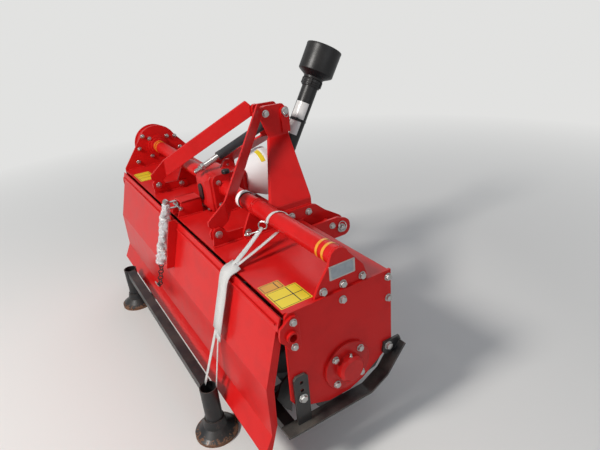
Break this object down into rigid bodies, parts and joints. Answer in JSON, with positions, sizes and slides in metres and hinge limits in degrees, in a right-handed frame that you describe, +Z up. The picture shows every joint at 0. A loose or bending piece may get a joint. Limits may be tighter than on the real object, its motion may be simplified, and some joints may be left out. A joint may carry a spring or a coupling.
{
  "type": "three-point mounted rotary tiller on a transport stand",
  "caption": "Compact tractor rotary tiller with hood, side plates, tined rotor, swinging tailgate, hitch mast and leaning driveline, parked on its black steel stand.",
  "frame": {"origin": "on the floor, under the middle of the whole machine with its driveline and stand", "axes": "+X to the machine's right, +Y forward to the tractor, +Z up"},
  "size_m": [1.697, 1.0116, 1.1524],
  "materials": {
    "red_paint": "gloss red paint on steel and castings",
    "black_paint": "satin black paint, worn on the runners",
    "stand_paint": "thin black paint over mill scale, rusty at the feet",
    "tine_steel": "forged spring steel, dipped black",
    "white_plastic": "white polyethylene",
    "black_plastic": "black polyethylene",
    "grey_plastic": "dark grey sleeve",
    "bare_steel": "machined steel",
    "zinc_steel": "zinc plated steel",
    "white_webbing": "woven polyester strap"
  },
  "bodies": {
    "frame": {"bearing_housing": "red_paint", "cross_tube_left": "red_paint", "cross_tube_right": "red_paint", "drive_case": "red_paint", "drive_case_cover": "red_paint", "driveline_bell": "black_plastic", "driveline_joint": "bare_steel", "driveline_shield": "black_plastic", "driveline_yoke": "bare_steel", "gearbox": "red_paint", "gearbox_breather": "black_plastic", "gearbox_plug": "black_plastic", "hinge_ear_left": "red_paint", "hinge_ear_right": "red_paint", "hitch_pin_left": "zinc_steel", "hitch_pin_right": "zinc_steel", "hitch_plate_inner_left": "red_paint", "hitch_plate_inner_right": "red_paint", "hitch_plate_outer_left": "red_paint", "hitch_plate_outer_right": "red_paint", "hood": "red_paint", "input_guard": "white_plastic", "input_shaft": "bare_steel", "link_bar": "zinc_steel", "link_rod": "zinc_steel", "link_sleeve": "grey_plastic", "mast_left": "red_paint", "mast_right": "red_paint", "mast_strap_left": "red_paint", "mast_strap_right": "red_paint", "side_ear_right": "red_paint", "side_plate_left": "red_paint", "side_plate_right": "red_paint", "skid_left": "black_paint", "skid_right": "black_paint", "stand_carrier": "stand_paint", "stand_front_beam": "stand_paint", "stand_posts": "stand_paint", "stand_rails": "stand_paint", "stand_rear_bar": "stand_paint", "stand_uprights": "stand_paint", "stay_bracket_left": "red_paint", "stay_bracket_right": "red_paint", "stay_left": "red_paint", "stay_right": "red_paint", "tie_strap": "white_webbing", "top_link_pin": "zinc_steel", "tube_collar": "red_paint"},
    "rotor": {"rotor_shaft": "red_paint", "tines_left_hand": "tine_steel", "tines_right_hand": "tine_steel"},
    "tailgate": {"tailgate": "red_paint", "tailgate_channel": "red_paint", "tailgate_hinge": "red_paint", "tailgate_rod": "zinc_steel"}
  },
  "joints": [
    {"name": "rotor_spin", "type": "hinge", "parent": "frame", "child": "rotor", "pos_m": [0.0125, -0.10382, 0.326], "axis": [-1, 0, 0], "continuous": true},
    {"name": "tailgate_hinge", "type": "hinge", "parent": "frame", "child": "tailgate", "pos_m": [0.0125, -0.27582, 0.514], "axis": [-1, 0, 0], "range_deg": [-1, 0.9]}
  ]
}
